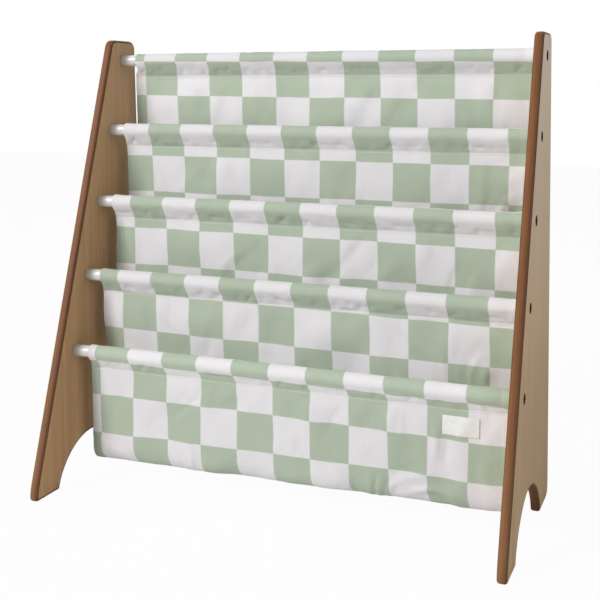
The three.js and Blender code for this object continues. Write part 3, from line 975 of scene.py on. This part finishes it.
def route(number):
    """Side-view route of one strip of cloth, with the length along it at its seams and at its bend.

    It starts behind the upper rod, goes over it and down, turns round the pocket's bottom, and comes up to
    the lower rod's seam. The lowest strip goes on over its rod, as the last sleeve.
    """
    back = seam_place(number, 1)
    allowance = np.array([0.0, SEAM_ALLOWANCE])
    pieces = {
        "start": [back - allowance],
        "back_seam": [back],
        "sleeve": over_rod(number),
        "seam": [seam_place(number)],
        "bend": pocket_bend(number),
    }
    if number == LAST_STRIP:
        end = seam_place(number + 1, 1)
        pieces["lower_seam"] = [seam_place(number + 1)]
        pieces["lower_sleeve"] = over_rod(number + 1)[::-1]
        pieces["lower_back_seam"] = [end]
        pieces["end"] = [end - allowance]
    else:
        top = seam_place(number + 1, 2)
        pieces["lower_seam"] = [top]
        pieces["end"] = [top + np.array(TUCKED_END)]
    points = np.concatenate([np.array(part, float) for part in pieces.values()])
    along = np.concatenate([[0], np.cumsum(np.hypot(*np.diff(points, axis=0).T))])
    marks, index = {}, 0
    for name, part in pieces.items():
        marks[name] = (along[index], along[index + len(part) - 1])
        index += len(part)
    return points, along, marks


def along_route(points, along, length):
    """Depth, height and normal of a route at lengths along it; the normal is that of the sleeve's face."""
    y, z = (np.interp(length, along, points[:, axis]) for axis in (0, 1))
    ahead, behind = (np.clip(length + reach, 0, along[-1]) for reach in (NORMAL_REACH, -NORMAL_REACH))
    dy, dz = (np.interp(ahead, along, points[:, axis]) - np.interp(behind, along, points[:, axis])
              for axis in (0, 1))
    size = np.hypot(dy, dz)
    return y, z, dz / size, -dy / size


def row_places(along, marks):
    """Lengths along a route at which the cloth has a row of points."""
    seams = [ends[0] for name, ends in marks.items() if name.endswith("seam")]
    curved = [ends for name, ends in marks.items() if name.endswith(("sleeve", "bend"))]
    places = [0.0]
    while places[-1] < along[-1]:
        here = places[-1]
        nearest = min(abs(here - seam) for seam in seams)
        coarse = float(ease(nearest, *FINE_ROW_REACHES))
        step = FINE_ROW_STEP + (ROW_STEP - FINE_ROW_STEP) * coarse
        if any(low <= here <= high for low, high in curved):
            step = min(step, CURVED_ROW_STEP)
        places.append(here + step)
    return np.array(places) * along[-1] / places[-1]


def column_places():
    """Places across at which the cloth has a column of points."""
    places = [0.0]
    while places[-1] < CLOTH_WIDTH / 2:
        to_edge = CLOTH_WIDTH / 2 - places[-1]
        in_hem = to_edge < HEM_WIDTH + FINE_COLUMN_MARGIN
        places.append(places[-1] + (FINE_COLUMN_STEP if in_hem else COLUMN_STEP))
    half = np.array(places) * CLOTH_WIDTH / 2 / places[-1]
    return (CLOTH_LEFT + CLOTH_RIGHT) / 2 + np.concatenate([-half[:0:-1], half])


# Folds of the cloth

def bell(distance, reach):
    """1 at no distance, and near 0 past twice the reach."""
    return np.exp(-(distance / reach) ** 2)


def blend(first, second, share):
    """From the first value to the second as the share goes from 0 to 1."""
    return first * (1 - share) + second * share


def share_across(across):
    """From 0 at the cloth's left edge to 1 at its right edge."""
    return (across - CLOTH_LEFT) / CLOTH_WIDTH


def hanging_wave(across, drop):
    """Main billow of the hanging sheets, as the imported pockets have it."""
    total = 0
    for index, (count, part) in enumerate(zip(WAVES_ACROSS, WAVE_SHARES)):
        total = total + part * np.sin(2 * np.pi * count * share_across(across) + index)
    return WAVE_DEPTH * np.clip(drop / WAVE_FADE, 0, 1) * total


def seam_pucker(number, across, reach):
    """Forward pull of the cloth at a stitch line, which dies away on both sides of it."""
    return PUCKER_DEPTH * field("pucker", number, across, 0 * across) * np.exp(-reach / PUCKER_REACH)


def sheet_relief(number, across, drop):
    """Depth, forward negative, of the folds under a rod's seam: the sheets that meet there share it."""
    folds = field("folds", number, across, drop, (FOLD_SHIFTS[0] * number, FOLD_SHIFTS[1]))
    ripples = field("ripples", number, across, drop)
    lean = CREASE_LEAN + CREASE_LEAN_SPREAD * field("lean", number, across, drop)
    slant = field("creases", number, across + lean * drop, CREASE_TURN * across - drop)
    depth = CREASE_DEPTH * CREASE_SHARES[number] * blend(*CREASE_END_SHARES, share_across(across))
    small = RIPPLE_DEPTH * ripples + depth * slant * np.abs(slant)
    relief = hanging_wave(across, drop) + FOLD_DEPTH * folds * ease(drop / FOLD_FADE)
    return relief + small * ease(drop / SMALL_FOLD_FADE) - seam_pucker(number, across, drop)


def pinches(number, across, around):
    """Short slanting creases on the front of a sleeve, where loose cloth folds over its stitch line."""
    rng = np.random.default_rng(PINCH_SEED + number)
    total = 0 * across
    for index in range(PINCH_COUNT):
        place = CLOTH_LEFT + CLOTH_WIDTH * (index + rng.uniform(*PINCH_SPOTS)) / PINCH_COUNT
        slant = rng.uniform(*PINCH_SLANTS)
        depth = rng.uniform(*PINCH_STRENGTHS) ** PINCH_STRENGTH_POWER
        centre = rng.uniform(*PINCH_PLACES)
        width = rng.uniform(*PINCH_WIDTHS)
        reach = rng.uniform(*PINCH_LENGTHS)
        off = across - place - slant * (around - centre)
        total = total + depth * bell(off, width) * bell(around - centre, reach)
    return PINCH_DEPTH * total


def sleeve_relief(number, across, around, front):
    """Lift of a sleeve from its smooth shape, at lengths from its seam. Only the front has dimples."""
    patches = field("dimples", number, across, around, (0, DIMPLE_SLANT * across / FIELDS["dimples"][0]))
    patches = np.where(patches > 0, patches, BULGE_SHARE * patches)
    dimples = DIMPLE_DEPTH * patches * bell(around - DIMPLE_PLACE, DIMPLE_REACH)
    slack = field("slack", number, across, around) * ease(around / SLACK_FADE)
    on_front = seam_pucker(number, across, around) - dimples - pinches(number, across, around)
    return SLEEVE_SHARES[number] * on_front * front + SLACK_DEPTH * np.abs(slack)


# Print of the cloth

def columns_at(across, start, pitch, bow):
    """Columns counted in squares from a first boundary; the bow moves the middle boundaries to the right."""
    place = across / MM - start
    share = place / (PRINT_COLUMNS * pitch)
    return (place - 4 * bow * share * (1 - share)) / pitch


def front_squares(across, length, marks):
    """Column and row on the front of the lowest pocket and on the sleeve above it."""
    above = length - marks["lower_seam"][0]
    on_lowest = ease(above, *LOWEST_PRINT_REACHES)
    column = blend(columns_at(across, *PRINT_FRONT), columns_at(across, *PRINT_LOWEST_SLEEVE), on_lowest)
    start, tilt = PRINT_FRONT_ROW
    bow = PRINT_FRONT_BOW * (0.5 - (across / CLOTH_RIGHT) ** 2) * (1 - on_lowest)
    height = above / MM + start + tilt * across / MM - bow
    return column, PRINT_FRONT_COUNT + height / np.where(height > 0, *PRINT_FRONT_PITCHES)


def print_squares(number, across, length, marks):
    """The print's column and row, counted in squares, at places across and lengths along a strip."""
    seam = marks["seam"][0]
    under_seam = ease(length, seam - SLEEVE_PRINT_FADE, seam)
    sleeve, sheet = (columns_at(across, *table[number]) for table in (PRINT_SLEEVE, PRINT_SHEET))
    column = blend(sleeve, sheet, under_seam)
    start, tilt, pitch = PRINT_ROWS[number]
    row = (length / MM - start - tilt * across / MM) / pitch
    row = np.where(row < 0, row / PRINT_BACK_STRETCHES.get(number, 1), row)
    if number == LAST_STRIP:
        bend_start, bend_end = marks["bend"]
        front = ease(length, bend_start - PRINT_FRONT_FADE, bend_end)
        front_column, front_row = front_squares(across, length, marks)
        column, row = blend(column, front_column, front), blend(row, front_row, front)
    drift_x, drift_y = (PRINT_DRIFT * field(kind, number, across, length) / SQUARE
                        for kind in ("print_across", "print_along"))
    return column + drift_x, row + drift_y


def painted_lighting_share(number, across, length, marks):
    """Painted light and shade of the cloth: painted light low on a sheet, on the top strip, round the lowest
    rod and at the right, and painted shadow at the left.
    """
    bend_start = marks["bend"][0]
    drop = length - marks["seam"][0]
    share = ease(drop, *PAINTED_LIGHT_DROPS) * ease((bend_start - length) / PAINTED_LIGHT_BEND_FADE)
    share = share + PAINTED_LIGHT_SHARES[number] * ease(drop / PAINTED_LIGHT_SEAM_FADE) * (length < bend_start)
    if number == LAST_STRIP:
        above = length - marks["lower_seam"][0]
        share = share + PAINTED_LIGHT_SHARES[ROD_COUNT] * ease(above, *PAINTED_LIGHT_SLEEVE_REACHES)
    at_right = ease(across, CLOTH_RIGHT - PAINTED_LIGHT_END, CLOTH_RIGHT)
    at_left = ease(across, CLOTH_LEFT + PAINTED_SHADOW_REACH, CLOTH_LEFT) * ease(drop / PAINTED_SHADOW_REACH)
    return np.clip(share + at_right, 0, 1) - PAINTED_SHADOW_SHARES[number] * at_left


# Cloth strips

def sleeves_of(number, marks):
    """Each sleeve of a strip: its rod, the lengths at its two seams, and the side that is its face."""
    sleeves = [(number, marks["back_seam"][0], marks["seam"][0], 1)]
    if number == LAST_STRIP:
        sleeves.append((ROD_COUNT, marks["lower_seam"][0], marks["lower_back_seam"][0], -1))
    return sleeves


def strip_surface(number, length, across):
    """Middle surface of a strip and its side-view normals, at lengths and places across as equal arrays."""
    points, along, marks = route(number)
    y, z, normal_y, normal_z = along_route(points, along, length)
    bend_start, bend_end = marks["bend"]
    seam, lower_seam = marks["seam"][0], marks["lower_seam"][0]
    front_share = ease(length, bend_start, bend_end)
    hanging = (length > seam) & (length < lower_seam)
    from_seams = np.where(length < bend_start, (length - seam) / (bend_start - seam),
                          (lower_seam - length) / (lower_seam - bend_end))
    z = z + BOTTOM_TILT * across * ease(from_seams) * hanging
    drops = [np.clip(seam_place(rod)[1] - z, 0, None) for rod in (number, number + 1)]
    own, other = sheet_relief(number, across, drops[0]), sheet_relief(number + 1, across, drops[1])
    y = y + blend(own, other, front_share) * hanging
    lift = 0 * across
    on_rod = 0 * across
    for rod, first, last, side in sleeves_of(number, marks):
        from_first, from_last = length - first, last - length
        around = np.minimum(from_first, from_last)
        front = (from_last < from_first) if side > 0 else (from_first < from_last)
        relief = sleeve_relief(rod, across, np.clip(around, 0, None), front)
        lift = lift + side * relief * (around >= 0)
        on_rod = np.maximum(on_rod, around / ROD_PULL_REACH)
    on_rod = ease(on_rod)
    pulls = [blend(-SHEET_SPREADS[rod], SLEEVE_DRAWS[rod], on_rod) for rod in (number, number + 1)]
    x = across + np.exp((CLOTH_LEFT - across) / END_PULL_REACH) * blend(*pulls, front_share)
    return x, y + lift * normal_y, z + lift * normal_z, normal_y, normal_z


def hem_swell(across):
    """Extra half thickness in the turned side hems, with a dent along their stitches."""
    to_edge = np.minimum(across - CLOTH_LEFT, CLOTH_RIGHT - across)
    swell = HEM_SWELL * ease(to_edge, HEM_WIDTH, HEM_WIDTH - HEM_SWELL_EDGE)
    return swell - HEM_DENT * bell(to_edge - HEM_STITCH_INSET, HEM_DENT_REACH)


def seam_dent(length, marks):
    """Thinner cloth under the stitches of the seams on both sides of a pocket."""
    stitched = (marks["seam"][0] + CREASE_RISE, marks["lower_seam"][0] - CREASE_RISE)
    return SEAM_DENT * sum(bell(length - place, SEAM_DENT_REACH) for place in stitched)


def face_points(surface, lift):
    """Points off a strip's middle surface by a lift along its side-view normals."""
    x, y, z, normal_y, normal_z = surface
    return np.stack([x, y + lift * normal_y, z + lift * normal_z], 2)


def make_strip(number, nodes):
    """One cut of cloth, from the sleeve of its upper rod to its lower rod, with its length."""
    _, along, marks = route(number)
    length, across = np.meshgrid(row_places(along, marks), column_places(), indexing="ij")
    surface = strip_surface(number, length, across)
    x = surface[0]
    half = CLOTH / 2 + hem_swell(x) - seam_dent(length, marks)
    outer, inner = face_points(surface, half), face_points(surface, -half)
    piece = sheet_piece(f"sling_cloth_{number}", outer, inner, CHECK_CLOTH)
    set_uv(piece.data, "print", *print_squares(number, x, length, marks))
    set_uv(piece.data, "cloth", x, length)
    # Painted light and shade of the cloth, kept at its points for the material.
    pale = painted_lighting_share(number, x, length, marks).ravel()
    painted_lighting = piece.data.attributes.new("painted_lighting", "FLOAT", "POINT")
    painted_lighting.data.foreach_set("value", np.concatenate([pale, pale]).astype(np.float32))
    return settle(piece, "check_cloth", *nodes), along[-1]


# Stitches

def unit(vectors):
    return vectors / np.linalg.norm(vectors, axis=1)[:, None]


def surface_samples(number, length, across, side):
    """Points on a strip with the ways along it, across it and out of one face, for equal arrays of places."""
    middle, ahead, beside = (
        np.stack(strip_surface(number, length + step_along, across + step_across)[:3], 1)
        for step_along, step_across in ((0, 0), (STITCH_PROBE, 0), (0, STITCH_PROBE)))
    normal_y, normal_z = strip_surface(number, length, across)[3:]
    along, over = unit(ahead - middle), unit(beside - middle)
    up = unit(np.cross(over, along))
    outward = side * (up[:, 1] * normal_y + up[:, 2] * normal_z)
    return middle, along, over, up * np.sign(outward)[:, None]


def stitch_mesh(name, centre, way, up, radius):
    """Short rounded threads as one mesh, each with its centre, its way, its upward way and its radius."""
    side = np.cross(way, up)
    points = []
    for share, scale in STITCH_PROFILE_SHARES:
        ring_centre = centre + way * STITCH_LENGTH * share - up * radius * (1 - scale)
        for angle in whole_turn(STITCH_SIDES):
            points.append(ring_centre + (side * np.cos(angle) + up * np.sin(angle)) * radius * scale)
    vertices = np.stack(points, 1).reshape(-1, 3)
    caps = [tuple(range(STITCH_SIDES))[::-1], tuple(range(len(points) - STITCH_SIDES, len(points)))]
    one = ring_faces(len(STITCH_PROFILE_SHARES), STITCH_SIDES) + caps
    faces = [tuple(base + corner for corner in face) for base in range(0, len(vertices), len(points))
             for face in one]
    return new_piece(name, vertices, faces, THREAD)


def make_stitches(number):
    """Seam and hem stitches of one strip, as one piece."""
    _, _, marks = route(number)
    across = np.arange(CLOTH_LEFT + SEAM_END_MARGIN, CLOTH_RIGHT - SEAM_END_MARGIN, STITCH_PITCH)
    seams = [("seam", 1, 1), ("back_seam", -1, 1)]
    if number == LAST_STRIP:
        seams += [("lower_seam", -1, -1), ("lower_back_seam", 1, -1)]
    runs = [(0 * across + marks[name][0] + way * CREASE_RISE, across, side, False)
            for name, way, side in seams]
    first, last = marks["seam"][0] + HEM_END_MARGIN, marks["lower_seam"][0] - HEM_END_MARGIN
    down = np.arange(first, last, STITCH_PITCH)
    for place in (CLOTH_LEFT + HEM_STITCH_INSET, CLOTH_RIGHT - HEM_STITCH_INSET):
        runs += [(down, 0 * down + place, side, True) for side in (-1, 1)]
    threads = []
    for lengths, places, side, is_hem in runs:
        middle, along_way, over_way, up = surface_samples(number, lengths, places, side)
        lift = (CLOTH / 2 + hem_swell(places) + STITCH_LIFT)[:, None]
        radius = np.full_like(lift, HEM_THREAD_RADIUS if is_hem else THREAD_RADIUS)
        threads.append((middle + up * lift, along_way if is_hem else over_way, up, radius))
    piece = stitch_mesh(f"stitches_{number}", *(np.concatenate(part) for part in zip(*threads)))
    return settle(piece, "check_cloth")


# Blank label

def make_label():
    """Blank tape sewn on the front of the lowest pocket, following the cloth under it."""
    _, _, marks = route(LAST_STRIP)
    low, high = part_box("blank_label")
    first = marks["lower_seam"][0] - (seam_place(ROD_COUNT)[1] - low[2])
    length, across = np.meshgrid(np.linspace(first, first + LABEL_HEIGHT, LABEL_ROWS),
                                 np.linspace(low[0], high[0], LABEL_COLUMNS), indexing="ij")
    v, u = np.meshgrid(np.linspace(-1, 1, LABEL_ROWS), np.linspace(-1, 1, LABEL_COLUMNS), indexing="ij")
    rim = np.maximum(np.abs(u), np.abs(v))
    puff = LABEL_PUFF * ease(rim, 1, LABEL_PUFF_EDGE_SHARE)
    wave = LABEL_WAVE * smooth_noise(u * LABEL_WAVES[0], v * LABEL_WAVES[1], LABEL_SEED)
    base = CLOTH / 2 + LABEL_GAP + puff + wave
    surface = strip_surface(LAST_STRIP, length, across)
    outer, inner = face_points(surface, -base - LABEL_THICKNESS), face_points(surface, -base)
    piece = sheet_piece("label_tape", outer, inner, LABEL_TAPE, turned=True)
    set_uv(piece.data, "cloth", surface[0], surface[2])
    return settle(piece, "label_cloth", "blank_label")


# Stage

def make_camera():
    """The photograph's camera; its lens shift places the picture as the photograph is framed."""
    data = bpy.data.cameras.new("camera")
    data.sensor_width = SENSOR_WIDTH
    data.lens = LENS_PIXELS / IMAGE_SIZE * SENSOR_WIDTH
    data.shift_x = (IMAGE_SIZE / 2 - PRINCIPAL_PIXEL[0]) / IMAGE_SIZE
    data.shift_y = (PRINCIPAL_PIXEL[1] - IMAGE_SIZE / 2) / IMAGE_SIZE
    data.clip_start = CLIP_START
    camera = new_object("camera", data)
    camera.location = CAMERA_PLACE
    camera.rotation_euler = Euler((np.pi / 2 + np.radians(CAMERA_PITCH), 0, np.radians(CAMERA_YAW)))
    bpy.context.scene.camera = camera


def make_lamp(name, place, size, power):
    """Rectangular lamp that aims at the shelf."""
    data = bpy.data.lights.new(name, "AREA")
    data.shape = "RECTANGLE"
    data.size, data.size_y = size
    data.energy = power
    lamp = new_object(name, data)
    lamp.location = place
    lamp.rotation_euler = (Vector(LAMP_AIM) - Vector(place)).to_track_quat("-Z", "Y").to_euler()


def make_world():
    """Even studio light; the camera, mirror and glass rays see plain white."""
    n = Nodes(bpy.data.worlds.new("studio"))
    n.tree.nodes.clear()
    rays = n.add("LightPath").outputs
    seen = n.math("MAXIMUM", rays["Is Camera Ray"], rays["Is Glossy Ray"])
    seen = n.math("MAXIMUM", seen, rays["Is Transmission Ray"])
    light = n.add("Background", Strength=AMBIENT)
    white = n.add("Background", Color=WHITE, Strength=1.0)
    shown = n.put_all(n.add("MixShader"), seen, light.outputs[0], white.outputs[0])
    n.add("OutputWorld", Surface=shown)
    bpy.context.scene.world = n.owner


def make_floor():
    """Pale floor that the camera sees almost white and that keeps the shelf's shadow."""
    n = new_material("floor")
    n.finish(Base_Color=FLOOR_GREY, Roughness=0.9)
    white = n.add("Emission", Color=WHITE, Strength=1.0)
    seen = n.times(n.add("LightPath").outputs["Is Camera Ray"], FLOOR_WHITE)
    plain = n.tree.nodes["Principled BSDF"].outputs[0]
    shown = n.put_all(n.add("MixShader"), seen, plain, white.outputs[0])
    n.put(n.tree.nodes["Material Output"].inputs["Surface"], shown)
    corners = [(x * FLOOR_REACH, y * FLOOR_REACH, 0) for x, y in ((-1, -1), (1, -1), (1, 1), (-1, 1))]
    new_piece("studio_floor", corners, [(0, 1, 2, 3)], n.owner, smooth=False)


BOARD_FACES = {label: board_face_material(label) for label in ("left", "right")}
BOARD_EDGE = board_edge_material()
SHADED_BOARD_BORE = speckled_material("board_bore", 2400.0, SHADED_BORE_TONES, (0.4, 0.3 * MM), Roughness=0.85)
ROD_PAINT = rod_paint_material()
PLUG_NYLON = speckled_material("plug_nylon", 1500.0, PLUG_TONES, (0.1, 0.2 * MM), Roughness=0.5)
BOLT_BLACK = bolt_material()
CHECK_CLOTH = check_cloth_material()
LABEL_TAPE = label_material()
THREAD = thread_material()

make_camera()
make_world()
make_floor()
for lamp_name, lamp_values in LAMPS.items():
    make_lamp(lamp_name, *lamp_values)

for panel_label, panel_side in (("left", -1), ("right", 1)):
    make_panel(panel_label, panel_side)
    for rod_number in range(1, ROD_COUNT + 1):
        make_bolt(panel_label, panel_side, rod_number)
        dress_plug(panel_label, rod_number)
for rod_number in range(1, ROD_COUNT + 1):
    make_rod(rod_number)

for strip_number in range(1, ROD_COUNT):
    stands_for = [f"sleeve_{strip_number}", f"pocket_{strip_number}"]
    if strip_number == LAST_STRIP:
        stands_for.append(f"sleeve_{ROD_COUNT}")
    strip, cut_length = make_strip(strip_number, stands_for)
    stitches = make_stitches(strip_number)
label_piece = make_label()

bpy.context.scene.view_settings.view_transform = "Standard"
